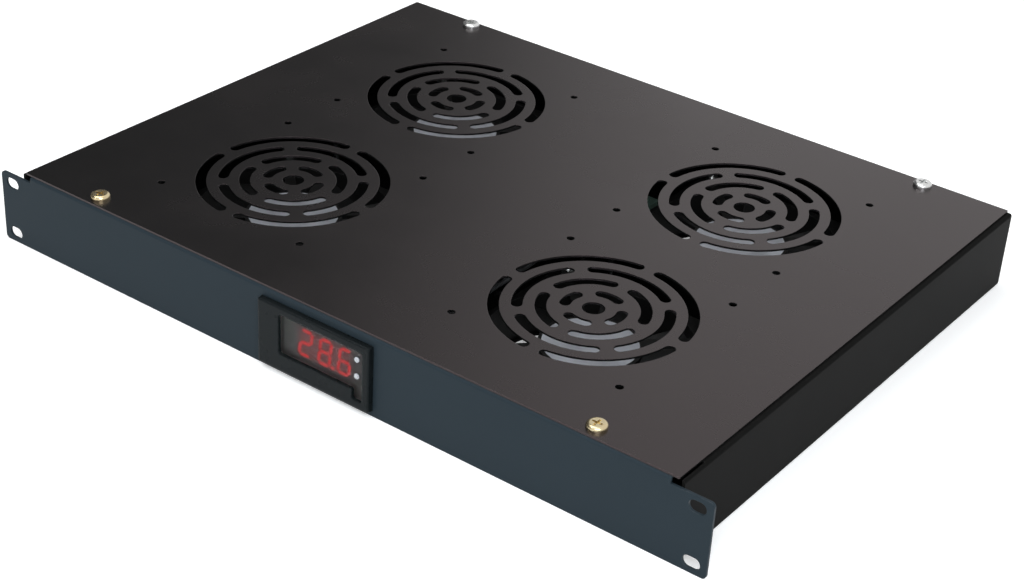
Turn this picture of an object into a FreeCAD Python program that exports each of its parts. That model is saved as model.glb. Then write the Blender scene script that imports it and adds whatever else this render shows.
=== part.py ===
import FreeCAD, Part
import math
import os

from FreeCAD import Vector

# Rack fan tray, millimetres. X runs left to right seen from the front, Y runs from the
# front panel to the back, Z is up. The origin is the centre of the underside.

# ---------------------------------------------------------------- driving sizes
# Rack interface
panel_width = 482.6
ear_height = 43.65
rack_hole_pitch_x = 465.1
rack_hole_pitch_z = 31.75
rack_slot_length = 10.0
rack_slot_width = 6.8
ear_corner_radius = 2.5

# Folded sheet body
body_width = 448.0
body_depth = 350.0
body_height = 47.4
panel_sheet = 1.5
tray_sheet = 1.2
cover_sheet = 1.2
bend_inside = 0.5
panel_flange_depth = 20.0
panel_flange_width = 434.0
tray_flange = 14.0
lip_height = 12.0
cover_side_inset = 2.8
cover_front_inset = 1.0
cover_back_inset = 1.0
cover_corner_radius = 1.0
flange_gap = 0.4

# Fans
fan_size = 119.5
fan_thickness = 25.4
fan_hole_pitch = 105.0
fan_hole = 4.3
fan_offset_x = 105.0
front_row = 97.0
row_pitch = 149.5
fan_flange = 3.2
fan_corner_radius = 5.0
duct_radius = 57.5
duct_wall = 2.0
motor_base_radius = 28.0
motor_base_thickness = 2.5
strut_width = 6.0
label_radius = 26.0
label_thickness = 0.2
bearing_tube_radius = 6.0
bearing_outer_radius = 4.0
bearing_length = 4.0
shaft_radius = 1.5
shaft_running_gap = 0.05
hub_radius = 25.5
hub_wall = 2.2
hub_floor = 2.5
rotor_end_gap = 1.6
core_radius = 18.5
core_height = 8.0
winding_height = 2.5
blade_count = 7
blade_thickness = 1.4
blade_tip_gap = 0.9
blade_root_chord = 21.0
blade_tip_chord = 36.0
blade_root_pitch = 48.0
blade_tip_pitch = 28.0
blade_camber = 0.09

# Air grilles, one unit is the width of a slot and of the ring between two slots
grille_radius = 55.4
grille_units = 9
grille_bridge = 7.0
small_hole = 4.5

# Cover fixings
cover_screw_x = 169.0
cover_screw_front = 9.0
cover_screw_back = 7.2
cover_screw_shank = 5.0
cover_screw_length = 9.0
cover_screw_clearance = 0.5
cover_head_diameter = 11.0
cover_head_height = 2.7
cover_head_round = 1.8
cross_span = 5.94
cross_width = 1.32
cross_depth = 1.6
cover_nut_diameter = 10.0
cover_nut_height = 4.0

# Stud and nut hardware
stud_diameter = 4.0
stud_head_diameter = 5.8
stud_head_height = 0.7
stud_end = 1.6
nut_across_flats = 7.0
nut_height = 3.2

# Thermostat
bezel_width = 77.0
bezel_height = 39.5
bezel_depth = 3.6
bezel_draft = 0.4
bezel_round = 0.8
bezel_centre_z = 22.6
window_left = -23.6
window_right = 34.0
window_top = 15.2
window_bottom = -9.0
window_foot = -15.0
window_foot_left = 27.0
window_corner = 1.5
window_recess = 2.0
window_thickness = 1.3
window_gap = 0.1
case_width = 71.0
case_height = 33.0
case_depth = 58.0
case_wall = 1.5
case_corner_radius = 1.0
cutout_gap = 0.3
digit_width = 9.4
digit_height = 17.0
digit_pitch = 13.3
digit_stroke = 2.1
digit_left = -12.6
digit_bottom = -5.6
digit_slant = 7.0
digit_thickness = 0.2
point_radius = 1.2
point_gap = 1.6
bar_shrink = 0.92
digit_block_margin = 2.5
digit_block_key_gap = 0.6
shown_number = "286"
key_x = 28.9
key_rise = 5.0
key_centre_z = 3.7
key_diameter = 3.2
key_collar = 4.8
key_collar_thickness = 0.8
key_proud = 0.6
key_gap = 0.1
key_travel = 0.5
key_stop_gap = 0.1
key_stem = 2.4
key_edge_round = 0.4
switch_size = 4.8
board_thickness = 1.6
board_rail = 2.0
terminals_depth = 9.0
terminal_strip_width = 56.0
terminal_strip_height = 11.0
terminal_strip_drop = 7.0
terminal_pitch = 9.0
terminal_entry_drop = 3.5
terminal_count = 6
well_radius = 2.2
well_depth = 3.0
side_spring_reach = 4.0
side_spring_length = 14.0
side_spring_height = 12.0
side_spring_wall = 0.8
side_spring_clear = 1.0
display_depth = 7.0

# Power inlet
inlet_centre_z = 23.0
inlet_flange_width = 50.0
inlet_flange_height = 34.0
inlet_flange_thickness = 2.0
inlet_corner_radius = 4.0
inlet_screw_pitch = 40.0
inlet_body_width = 28.0
inlet_body_height = 31.0
inlet_body_depth = 24.0
inlet_wall_gap = 0.3
socket_width = 24.4
socket_height = 16.4
socket_depth = 16.0
socket_chamfer = 4.5
socket_centre = 6.0
pin_spacing = 14.0
pin_offset = 2.0
pin_width = 4.0
pin_thickness = 2.0
pin_length = 13.5
tab_width = 6.3
tab_thickness = 0.8
tab_length = 8.0
drawer_width = 22.0
drawer_height = 8.4
drawer_centre = -9.4
drawer_depth = 20.0
drawer_gap = 0.2
drawer_proud = 1.0
drawer_wall = 1.2
fuse_radius = 2.5
fuse_length = 15.0
fuse_gap = 0.5
inlet_screw_diameter = 3.0
inlet_head_diameter = 5.6
inlet_head_height = 1.6
inlet_head_slot = 0.8
inlet_screw_end = 1.0
inlet_nut_flats = 5.5
inlet_nut_height = 2.4

# Terminal block and wiring
block_width = 60.0
block_depth = 18.0
block_height = 13.0
block_wall_gap = 73.0
block_lug = 12.0
block_lug_height = 3.0
earth_gap = 26.0
earth_shift = 6.0
tag_thickness = 0.8
tag_radius = 4.2
tag_width = 4.0
tag_reach = 9.0
tag_barrel = 4.0
lead_floor_gap = 0.3
clamp_radius = 2.0
clamp_count = 5
clamp_edge = 4.5
block_hole_gap = 0.2
block_entry = 6.8
lead_diameter = 3.0
probe_lead_diameter = 2.4
probe_diameter = 5.0
probe_length = 26.0
probe_tip_round = 1.2
clip_gap = 0.3
clip_wall = 1.6
clip_length = 5.0
lead_lift = 0.5
lead_exit = 12.0
clip_line = 29.5
thermostat_lead_x = 9.0

# ---------------------------------------------------------------- places worked out from them
front_face = -body_depth / 2
back_face = body_depth / 2
panel_back = front_face + panel_sheet
half_body = body_width / 2
flange_under = body_height - panel_sheet
tray_top = body_height
cover_top = body_height + cover_sheet
floor_top = tray_sheet
unit = grille_radius / grille_units
fan_rows = [("front", front_face + front_row), ("back", front_face + front_row + row_pitch)]
fan_columns = [("left", -fan_offset_x), ("right", fan_offset_x)]
fan_places = [(f"{row}_{side}", x, y) for row, y in fan_rows for side, x in fan_columns]
corner_offsets = [(sx * fan_hole_pitch / 2, sy * fan_hole_pitch / 2) for sx in (-1, 1) for sy in (-1, 1)]
screw_front_y = front_face + cover_screw_front
screw_back_y = back_face - cover_screw_back
fan_top = floor_top + fan_thickness
block_front = back_face - block_wall_gap - block_depth
ear_middle = ear_height / 2
screw_hole_radius = cover_screw_shank / 2 + cover_screw_clearance

made = []


# ---------------------------------------------------------------- shape helpers
def box(x0, x1, y0, y1, z0, z1):
    return Part.makeBox(x1 - x0, y1 - y0, z1 - z0, Vector(x0, y0, z0))


def rod(x, y, z0, z1, radius):
    return Part.makeCylinder(radius, z1 - z0, Vector(x, y, z0))


def rod_y(x, z, y0, y1, radius):
    return Part.makeCylinder(radius, y1 - y0, Vector(x, y0, z), Vector(0, 1, 0))


def ring(x, y, z0, z1, outer, inner):
    return rod(x, y, z0, z1, outer).cut(rod(x, y, z0 - 1, z1 + 1, inner))


def fuse(shapes):
    first = shapes[0]
    if len(shapes) == 1:
        return first
    return first.fuse(shapes[1:]).removeSplitter()


def cut(shape, tools):
    return shape.cut(tools) if tools else shape


def fillet_where(shape, radius, chosen):
    return shape.makeFillet(radius, [edge for edge in shape.Edges if chosen(edge)])


def along(edge, axis):
    direction = edge.tangentAt(edge.FirstParameter)
    return abs(abs(direction.dot(axis)) - 1) < 1e-6


def rounded_box(x0, x1, y0, y1, z0, z1, radius, axis):
    solid = box(x0, x1, y0, y1, z0, z1)
    return fillet_where(solid, radius, lambda edge: along(edge, axis))


def obround(length, width, centre, y0, y1):
    """A slot lying along X, cut through along Y."""
    x, z = centre
    half = (length - width) / 2
    middle = box(x - half, x + half, y0, y1, z - width / 2, z + width / 2)
    ends = [rod_y(x + side * half, z, y0, y1, width / 2) for side in (-1, 1)]
    return fuse([middle] + ends)


def hexagon(x, y, z0, height, flats):
    corner = flats / math.sqrt(3)
    turns = [math.radians(60 * number) for number in range(7)]
    points = [Vector(x + corner * math.cos(turn), y + corner * math.sin(turn), z0) for turn in turns]
    return Part.Face(Part.makePolygon(points)).extrude(Vector(0, 0, height))


def prism_y(points, y0, y1):
    """Extrudes a closed outline of (x, z) points from y0 to y1."""
    outline = [Vector(x, y0, z) for x, z in points]
    return Part.Face(Part.makePolygon(outline + outline[:1])).extrude(Vector(0, y1 - y0, 0))


def save(name, solids):
    """Writes one sub-part. A group of identical pieces is written as separate solids."""
    solids = solids if isinstance(solids, list) else [solids]
    loose = [solid for shape in solids for solid in shape.Solids]
    shape = loose[0] if len(loose) == 1 else Part.makeCompound(loose)
    assert all(solid.isValid() and solid.isClosed() for solid in loose), name
    os.makedirs("parts", exist_ok=True)
    shape.exportStep(f"parts/{name}.step")
    made.append(name)


# ---------------------------------------------------------------- punched air grilles
def grille_slot(x, y, inner, outer, start, end, z0, z1):
    """One curved slot with round ends between two angles, in degrees, of its end centres."""
    middle = (inner + outer) / 2
    end_radius = (outer - inner) / 2

    def at(radius, angle):
        turn = math.radians(angle)
        return Vector(x + radius * math.cos(turn), y + radius * math.sin(turn), z0)

    half = (start + end) / 2
    tip = math.degrees(end_radius / middle)
    outside = Part.Arc(at(outer, start), at(outer, half), at(outer, end)).toShape()
    far_end = Part.Arc(at(outer, end), at(middle, end + tip), at(inner, end)).toShape()
    inside = Part.Arc(at(inner, end), at(inner, half), at(inner, start)).toShape()
    near_end = Part.Arc(at(inner, start), at(middle, start - tip), at(outer, start)).toShape()
    face = Part.Face(Part.Wire([outside, far_end, inside, near_end]))
    return face.extrude(Vector(0, 0, z1 - z0))


def grille_cutters(x, y, z0, z1):
    """A centre hole and four rings of four slots, with the bridges turned by 45 degrees on two rings."""
    cutters = [rod(x, y, z0, z1, unit)]
    for number, turn in ((2, 45), (4, 0), (6, 45), (8, 0)):
        inner = number * unit
        outer = inner + unit
        gap = math.degrees((grille_bridge + unit) / 2 / (inner + unit / 2))
        for quarter in range(4):
            start = turn + 90 * quarter + gap
            cutters.append(grille_slot(x, y, inner, outer, start, start + 90 - 2 * gap, z0, z1))
    return cutters


def plate_cutters(z0, z1, hole_radius):
    """The grilles and the four fan holes round each of them."""
    cutters = []
    for _, x, y in fan_places:
        cutters += grille_cutters(x, y, z0, z1)
        cutters += [rod(x + dx, y + dy, z0, z1, hole_radius) for dx, dy in corner_offsets]
    return cutters


# ---------------------------------------------------------------- folded sheet pieces
def front_panel():
    half = panel_width / 2
    ears = rounded_box(-half, half, front_face, panel_back, 0, ear_height, ear_corner_radius, Vector(0, 1, 0))
    half_flange = panel_flange_width / 2
    flange_end = front_face + panel_flange_depth
    upright = box(-half_flange, half_flange, front_face, panel_back, 0, body_height)
    flange = box(-half_flange, half_flange, front_face, flange_end, flange_under, body_height)
    fold = fuse([upright, flange])

    def bend_at(y, z):
        def chosen(edge):
            point = edge.CenterOfMass
            return along(edge, Vector(1, 0, 0)) and abs(point.y - y) < 1e-6 and abs(point.z - z) < 1e-6
        return chosen

    fold = fillet_where(fold, bend_inside + panel_sheet, bend_at(front_face, body_height))
    fold = fillet_where(fold, bend_inside, bend_at(panel_back, flange_under))
    slot_places = [(sx * rack_hole_pitch_x / 2, ear_middle + sz * rack_hole_pitch_z / 2)
                   for sx in (-1, 1) for sz in (-1, 1)]
    slots = [obround(rack_slot_length, rack_slot_width, place, front_face - 1, panel_back + 1)
             for place in slot_places]
    half_case = case_width / 2 + cutout_gap
    half_tall = case_height / 2 + cutout_gap
    cutout = box(-half_case, half_case, front_face - 1, panel_back + 1,
                 bezel_centre_z - half_tall, bezel_centre_z + half_tall)
    nut_holes = [rod(sx * cover_screw_x, screw_front_y, flange_under - 1, body_height + 1, screw_hole_radius)
                 for sx in (-1, 1)]
    return cut(fuse([ears, fold]), slots + [cutout] + nut_holes)


def base_tray():
    bend = bend_inside + tray_sheet
    outer = box(-half_body, half_body, panel_back, back_face, 0, tray_top)
    outer = fillet_where(outer, bend, lambda edge: edge.CenterOfMass.y > panel_back + 1)
    side_inside = half_body - tray_sheet
    lip_back = panel_back + tray_sheet
    inner = box(-side_inside, side_inside, lip_back, back_face - tray_sheet, floor_top, tray_top - tray_sheet)
    inner = fillet_where(inner, bend_inside, lambda edge: edge.CenterOfMass.y > lip_back + 1)
    shell = outer.cut(inner)
    mouth = box(-half_body + tray_flange, half_body - tray_flange, panel_back - 1, back_face - tray_flange,
                floor_top + lip_height, tray_top + 1)
    # The side flanges stop behind the panel's own flange.
    notch_end = front_face + panel_flange_depth + flange_gap
    notch_near = half_body - tray_flange - 1
    notch_far = side_inside - bend_inside
    notches = [box(x0, x1, lip_back + bend_inside, notch_end, tray_top - tray_sheet - 1, tray_top + 1)
               for x0, x1 in ((-notch_far, -notch_near), (notch_near, notch_far))]
    # The front wall is only a lip along the floor and a tab up each side, as high as the ears.
    tab_top = box(-notch_far, notch_far, panel_back - 1, lip_back + bend_inside, ear_height - 1, tray_top + 1)
    relief = case_width / 2 + side_spring_reach
    lip_relief = box(-relief, relief, panel_back - 1, lip_back + 1, floor_top, floor_top + lip_height + 1)
    half_inlet = inlet_body_width / 2 + inlet_wall_gap
    tall_inlet = inlet_body_height / 2 + inlet_wall_gap
    inlet_cut = box(-half_inlet, half_inlet, back_face - tray_sheet - 1, back_face + 1,
                    inlet_centre_z - tall_inlet, inlet_centre_z + tall_inlet)
    wall_inside = back_face - tray_sheet
    inlet_holes = [rod_y(x, inlet_centre_z, wall_inside - 1, back_face + 1, inlet_screw_diameter / 2)
                   for x in inlet_screw_xs()]
    flange_inside = tray_top - tray_sheet
    cover_holes = [rod(sx * cover_screw_x, screw_back_y, flange_inside - 1, tray_top + 1, screw_hole_radius)
                   for sx in (-1, 1)]
    stud_places = long_stud_places() + short_stud_places()
    stud_holes = [rod(x, y, -1, floor_top + 1, stud_diameter / 2) for x, y in stud_places]
    stud_seats = [rod(x, y, -1, stud_head_height, stud_head_diameter / 2) for x, y in stud_places]
    grilles = []
    for _, x, y in fan_places:
        grilles += grille_cutters(x, y, -1, floor_top + 1)
    return cut(shell, [mouth, tab_top, lip_relief, inlet_cut] + notches + inlet_holes + cover_holes
               + stud_holes + stud_seats + grilles)


def top_cover():
    half = half_body - cover_side_inset
    plate = rounded_box(-half, half, front_face + cover_front_inset, back_face - cover_back_inset,
                        body_height, cover_top, cover_corner_radius, Vector(0, 0, 1))
    screws = [rod(sx * cover_screw_x, y, body_height - 1, cover_top + 1, screw_hole_radius)
              for sx in (-1, 1) for y in (screw_front_y, screw_back_y)]
    return cut(plate, plate_cutters(body_height - 1, cover_top + 1, small_hole / 2) + screws)


# ---------------------------------------------------------------- hardware
def cover_screw(x, y):
    """Pan head screw with a cross recess, its thread ending inside the clinch nut."""
    shank = rod(x, y, cover_top - cover_screw_length, cover_top + 1, cover_screw_shank / 2)
    head = rod(x, y, cover_top, cover_top + cover_head_height, cover_head_diameter / 2)
    crown = cover_top + cover_head_height
    head = fillet_where(head, cover_head_round, lambda edge: edge.CenterOfMass.z > crown - 0.01)
    arm = cross_span / 2
    blade = cross_width / 2
    top = crown + 1
    floor = crown - cross_depth
    cross = fuse([box(x - arm, x + arm, y - blade, y + blade, floor, top),
                  box(x - blade, x + blade, y - arm, y + arm, floor, top)])
    return fuse([shank, head]).cut(cross)


def clinch_nut(x, y, top):
    body = rod(x, y, top - cover_nut_height, top, cover_nut_diameter / 2)
    return body.cut(rod(x, y, top - cover_nut_height - 1, top + 1, cover_screw_shank / 2))


def long_stud_places():
    return [(x + dx, y + dy) for _, x, y in fan_places for dx, dy in corner_offsets]


def short_stud_places():
    lug = block_width / 2 + block_lug / 2
    middle = block_front + block_depth / 2
    return [(-lug, middle), (lug, middle), earth_place()]


def earth_place():
    return (-block_width / 2 - earth_shift, block_front + block_depth + earth_gap)


def stud(x, y, seat):
    """Flush-head clinch stud, pressed into the floor from below and long enough for its nut."""
    shank = rod(x, y, 0, seat + nut_height + stud_end, stud_diameter / 2)
    return fuse([shank, rod(x, y, 0, stud_head_height, stud_head_diameter / 2)])


def stud_nut(x, y, seat):
    return hexagon(x, y, seat, nut_height, nut_across_flats).cut(
        rod(x, y, seat - 1, seat + nut_height + 1, stud_diameter / 2))


# ---------------------------------------------------------------- fan
def fan_frame(x, y):
    half = fan_size / 2
    upright = Vector(0, 0, 1)
    square = (x - half, x + half, y - half, y + half)
    flanges = [rounded_box(*square, z, z + fan_flange, fan_corner_radius, upright)
               for z in (floor_top, fan_top - fan_flange)]
    barrel = rod(x, y, floor_top, fan_top, duct_radius + duct_wall)
    shell = fuse(flanges + [barrel]).cut(rod(x, y, floor_top - 1, fan_top + 1, duct_radius))
    base_under = fan_top - motor_base_thickness
    base = rod(x, y, base_under, fan_top, motor_base_radius)
    reach = duct_radius + duct_wall / 2
    struts = []
    for quarter in range(4):
        strut = box(motor_base_radius - 1, reach, -strut_width / 2, strut_width / 2, base_under, fan_top)
        strut.rotate(Vector(0, 0, 0), Vector(0, 0, 1), 90 * quarter + 45)
        strut.translate(Vector(x, y, 0))
        struts.append(strut)
    tube = rod(x, y, tube_foot(), base_under, bearing_tube_radius)
    whole = fuse([shell, base, tube] + struts)
    bores = [rod(x + dx, y + dy, floor_top - 1, fan_top + 1, fan_hole / 2) for dx, dy in corner_offsets]
    bores.append(rod(x, y, tube_foot() - 1, base_under, bearing_outer_radius))
    return cut(whole, bores)


def hub_top():
    return fan_top - motor_base_thickness - rotor_end_gap


def hub_foot():
    return floor_top + rotor_end_gap


def tube_foot():
    return hub_foot() + hub_floor + 2 * rotor_end_gap + 1.0


def core_foot():
    return tube_foot() + winding_height


def fan_label(x, y):
    return rod(x, y, fan_top, fan_top + label_thickness, label_radius)


def fan_stator(x, y):
    """Laminated core with a winding pack on each side, seated on the bearing tube."""
    foot = core_foot()
    core = ring(x, y, foot, foot + core_height, core_radius, bearing_tube_radius)
    packs = [ring(x, y, z, z + winding_height, core_radius - 2, bearing_tube_radius + 1)
             for z in (foot - winding_height, foot + core_height)]
    return [core] + packs


def fan_bearings(x, y):
    bore = shaft_radius + shaft_running_gap
    base_under = fan_top - motor_base_thickness
    return [ring(x, y, z, z + bearing_length, bearing_outer_radius, bore)
            for z in (tube_foot(), base_under - bearing_length - 0.5)]


def fan_shaft(x, y):
    return rod(x, y, hub_foot(), fan_top - motor_base_thickness - 0.6, shaft_radius)


def blade_section(radius, chord, pitch):
    """A thin cambered section standing across the radius, closed by two arcs and two short ends."""
    half = chord / 2
    rise = chord * blade_camber
    thick = blade_thickness / 2

    def at(along_chord, height):
        turn = math.radians(pitch)
        tangent = along_chord * math.cos(turn) - height * math.sin(turn)
        up = along_chord * math.sin(turn) + height * math.cos(turn)
        return Vector(radius, tangent, up)

    upper = Part.Arc(at(-half, thick), at(0, rise + thick), at(half, thick)).toShape()
    trailing = Part.LineSegment(at(half, thick), at(half, -thick)).toShape()
    lower = Part.Arc(at(half, -thick), at(0, rise - thick), at(-half, -thick)).toShape()
    leading = Part.LineSegment(at(-half, -thick), at(-half, thick)).toShape()
    return Part.Wire([upper, trailing, lower, leading])


def fan_rotor(x, y):
    hub = rod(0, 0, hub_foot(), hub_top(), hub_radius)
    hub = hub.cut(rod(0, 0, hub_foot() + hub_floor, hub_top() + 1, hub_radius - hub_wall))
    boss_top = tube_foot() - rotor_end_gap
    boss = rod(0, 0, hub_foot(), boss_top, 2.6 * shaft_radius)
    tip = duct_radius - blade_tip_gap
    root = hub_radius - hub_wall / 2
    sections = [blade_section(root, blade_root_chord, blade_root_pitch),
                blade_section((root + tip) / 2, (blade_root_chord + blade_tip_chord) / 2,
                              (blade_root_pitch + blade_tip_pitch) / 2),
                blade_section(tip + 3, blade_tip_chord, blade_tip_pitch)]
    blade = Part.makeLoft(sections, True, False)
    blade.translate(Vector(0, 0, (hub_foot() + hub_top()) / 2))
    room = ring(0, 0, hub_foot(), hub_top(), tip, hub_radius - hub_wall / 2)
    blade = blade.common(room)
    blades = []
    for number in range(blade_count):
        copy = blade.copy()
        copy.rotate(Vector(0, 0, 0), Vector(0, 0, 1), 360 / blade_count * number)
        blades.append(copy)
    whole = fuse([hub, boss] + blades).cut(rod(0, 0, hub_foot() - 1, boss_top + 1, shaft_radius))
    whole.translate(Vector(x, y, 0))
    return whole


# ---------------------------------------------------------------- thermostat
def window_outline(inset):
    """The sunk face: a wide field with a foot that drops at the keys' end."""
    left = window_left + inset
    right = window_right - inset
    top = bezel_centre_z + window_top - inset
    bottom = bezel_centre_z + window_bottom + inset
    foot = bezel_centre_z + window_foot + inset
    step = window_foot_left + inset
    return [(left, bottom), (step, bottom), (step, foot), (right, foot), (right, top), (left, top)]


def window_block(inset, y0, y1):
    block = prism_y(window_outline(inset), y0, y1)
    return fillet_where(block, window_corner, lambda edge: along(edge, Vector(0, 1, 0)))


def thermostat_bezel():
    half = bezel_width / 2
    tall = bezel_height / 2
    front = front_face - bezel_depth

    def outline(shrink, y):
        corners = [(-half + shrink, -tall + shrink), (half - shrink, -tall + shrink),
                   (half - shrink, tall - shrink), (-half + shrink, tall - shrink)]
        points = [Vector(px, y, bezel_centre_z + pz) for px, pz in corners]
        return Part.makePolygon(points + points[:1])

    body = Part.makeLoft([outline(0, front_face), outline(bezel_draft, front)], True, True)
    body = fillet_where(body, bezel_round, lambda edge: edge.CenterOfMass.y < front_face - 0.01)
    return body.cut(window_block(0, front - 1, front_face + 1))


def window_front():
    return front_face - bezel_depth + window_recess


def window_rear():
    return window_front() + window_thickness


def thermostat_window():
    plate = window_block(window_gap, window_front(), window_rear())
    return cut(plate, [rod_y(key_x, z, front_face - bezel_depth, front_face, key_diameter / 2 + key_gap)
                       for z in key_heights()])


def key_heights():
    middle = bezel_centre_z + key_centre_z
    return [middle + key_rise, middle - key_rise]


def thermostat_case():
    half = case_width / 2
    low = bezel_centre_z - case_height / 2
    high = bezel_centre_z + case_height / 2
    back = front_face + case_depth
    shell = rounded_box(-half, half, front_face, back, low, high, case_corner_radius, Vector(0, 1, 0))
    wide = half - case_wall
    room = box(-wide, wide, front_face - 1, back - case_wall, low + case_wall, high - case_wall)
    return shell.cut(room)


def display_face():
    return window_rear() + digit_thickness


def display_board():
    """The upright board, the digit block on it and one switch behind each key."""
    board_front = display_face() + display_depth
    board_back = board_front + board_thickness
    wide = board_half_width()
    tall = case_height / 2 - case_wall - cutout_gap
    board = box(-wide, wide, board_front, board_back, bezel_centre_z - tall, bezel_centre_z + tall)
    left = digit_left - digit_block_margin
    right = key_x - key_collar / 2 - digit_block_key_gap
    low = bezel_centre_z + digit_bottom - digit_block_margin
    high = bezel_centre_z + digit_bottom + digit_height + digit_block_margin
    digits = box(left, right, display_face(), board_front, low, high)
    reach = switch_size / 2
    switch_front = key_rear() + key_travel + key_stop_gap
    switches = [box(key_x - reach, key_x + reach, switch_front, board_front, z - reach, z + reach)
                for z in key_heights()]
    return [board, digits] + switches


def segment(x0, x1, z0, z1):
    """One bar of a digit with pointed ends, drawn in a little so that it stays clear of the next bar."""
    if x1 - x0 > z1 - z0:
        mid = (z0 + z1) / 2
        half = (z1 - z0) / 2
        corners = [(x0, mid), (x0 + half, z0), (x1 - half, z0), (x1, mid), (x1 - half, z1), (x0 + half, z1)]
    else:
        mid = (x0 + x1) / 2
        half = (x1 - x0) / 2
        corners = [(mid, z0), (x1, z0 + half), (x1, z1 - half), (mid, z1), (x0, z1 - half), (x0, z0 + half)]
    cx = (x0 + x1) / 2
    cz = (z0 + z1) / 2
    return [(cx + (x - cx) * bar_shrink, cz + (z - cz) * bar_shrink) for x, z in corners]


def digit_bars(character):
    lit = {"0": "abcdef", "1": "bc", "2": "abged", "3": "abgcd", "4": "fgbc", "5": "afgcd",
           "6": "afgedc", "7": "abc", "8": "abcdefg", "9": "abcdfg"}[character]
    stroke = digit_stroke
    left = stroke / 2
    right = digit_width - stroke / 2
    low = stroke / 2
    middle = digit_height / 2
    high = digit_height - stroke / 2
    far = digit_width - stroke
    bars = {"a": segment(left, right, high - left, high + left),
            "b": segment(far, digit_width, middle, high),
            "c": segment(far, digit_width, low, middle),
            "d": segment(left, right, 0, stroke),
            "e": segment(0, stroke, low, middle),
            "f": segment(0, stroke, middle, high),
            "g": segment(left, right, middle - left, middle + left)}
    return [bars[name] for name in lit]


def display_digits():
    solids = []
    lean = math.tan(math.radians(digit_slant))
    low = bezel_centre_z + digit_bottom
    for place, character in enumerate(shown_number):
        left = digit_left + digit_pitch * place
        for bar in digit_bars(character):
            points = [(left + x + z * lean, low + z) for x, z in bar]
            solids.append(prism_y(points, window_rear(), display_face()))
        if place == 1:
            point_x = left + digit_width + point_gap
            solids.append(rod_y(point_x, low + point_radius, window_rear(), display_face(), point_radius))
    return solids


def key_rear():
    return window_rear() + key_collar_thickness + key_stem


def thermostat_key(z):
    tip = window_front() - key_proud
    cap = rod_y(key_x, z, tip, key_rear(), key_diameter / 2)
    collar = rod_y(key_x, z, window_rear(), window_rear() + key_collar_thickness, key_collar / 2)
    cap = fillet_where(cap, key_edge_round, lambda edge: edge.CenterOfMass.y < tip + 0.01)
    return fuse([cap, collar])


def board_half_width():
    return case_width / 2 - case_wall - cutout_gap


def control_board():
    """The lying main board on its two rails, with its transformer, relay and capacitor."""
    wide = board_half_width()
    low = bezel_centre_z - case_height / 2 + case_wall
    under = low + board_rail
    top = under + board_thickness
    front = display_face() + display_depth + board_thickness
    back = front_face + case_depth - case_wall
    board = box(-wide, wide, front, back, under, top)
    rails = [box(x, x + board_rail, front, back, low, under) for x in (-wide, wide - board_rail)]
    transformer = box(-31.0, -5.0, back - 26, back - 4, top, top + 20)
    relay = box(8.0, 28.0, back - 22, back - 6, top, top + 15)
    capacitor = rod(2.0, back - 34, top, top + 16, 5)
    return [fuse([board] + rails), transformer, relay, capacitor]


def thermostat_terminals():
    back = front_face + case_depth
    low = bezel_centre_z - terminal_strip_drop
    high = low + terminal_strip_height
    half = terminal_strip_width / 2
    strip = box(-half, half, back, terminals_rear(), low, high)
    first = -terminal_pitch * (terminal_count - 1) / 2
    middle = back + terminals_depth / 2
    wells = [rod(first + terminal_pitch * number, middle, high - well_depth, high + 1, well_radius)
             for number in range(terminal_count)]
    return strip.cut(wells)


def thermostat_clips():
    """A hollow spring on each side of the case that presses against the back of the panel."""
    near = case_width / 2
    far = near + side_spring_reach - side_spring_clear
    end = panel_back + side_spring_length
    low = bezel_centre_z - side_spring_height / 2
    high = bezel_centre_z + side_spring_height / 2
    wall = 2.5 * side_spring_wall
    spring = box(near, far, panel_back, end, low, high).cut(
        box(near + side_spring_wall, far, panel_back + wall, end - wall, low - 1, high + 1))
    other = spring.mirror(Vector(0, 0, 0), Vector(1, 0, 0))
    return [other, spring]


# ---------------------------------------------------------------- power inlet
def chamfered_socket(y0, y1):
    half = socket_width / 2
    tall = socket_height / 2
    middle = inlet_centre_z + socket_centre
    corner = socket_chamfer
    low = middle - tall
    high = middle + tall
    points = [(-half, low), (half, low), (half, high - corner),
              (half - corner, high), (-half + corner, high), (-half, high - corner)]
    return prism_y(points, y0, y1)


def inlet_screw_xs():
    return [-inlet_screw_pitch / 2, inlet_screw_pitch / 2]


def power_inlet():
    mouth = back_face + inlet_flange_thickness
    rear = back_face - inlet_body_depth
    wide = inlet_flange_width / 2
    tall = inlet_flange_height / 2
    flange = rounded_box(-wide, wide, back_face, mouth, inlet_centre_z - tall, inlet_centre_z + tall,
                         inlet_corner_radius, Vector(0, 1, 0))
    wide = inlet_body_width / 2
    tall = inlet_body_height / 2
    body = box(-wide, wide, rear, back_face, inlet_centre_z - tall, inlet_centre_z + tall)
    socket = chamfered_socket(mouth - socket_depth, mouth + 1)
    drawer = drawer_box(drawer_gap, mouth - drawer_depth - drawer_gap, mouth + 1)
    holes = [rod_y(x, inlet_centre_z, back_face - 1, mouth + 1, inlet_screw_diameter / 2)
             for x in inlet_screw_xs()]
    slots = [pin_shape(x, z, rear - 1, mouth) for x, z in pin_places()]
    return cut(fuse([flange, body]), [socket, drawer] + holes + slots)


def pin_places():
    middle = inlet_centre_z + socket_centre
    low = middle - pin_offset
    return [(-pin_spacing / 2, low), (pin_spacing / 2, low), (0, middle + pin_offset)]


def pin_shape(x, z, y0, y1):
    wide = pin_thickness / 2
    tall = pin_width / 2
    return box(x - wide, x + wide, y0, y1, z - tall, z + tall)


def inlet_pins():
    """Three blades with a push-on tab behind the inlet."""
    tip = back_face + inlet_flange_thickness - socket_depth + pin_length
    rear = back_face - inlet_body_depth
    wide = tab_thickness / 2
    tall = tab_width / 2
    return [fuse([pin_shape(x, z, rear, tip), box(x - wide, x + wide, tab_end(), rear, z - tall, z + tall)])
            for x, z in pin_places()]


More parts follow.
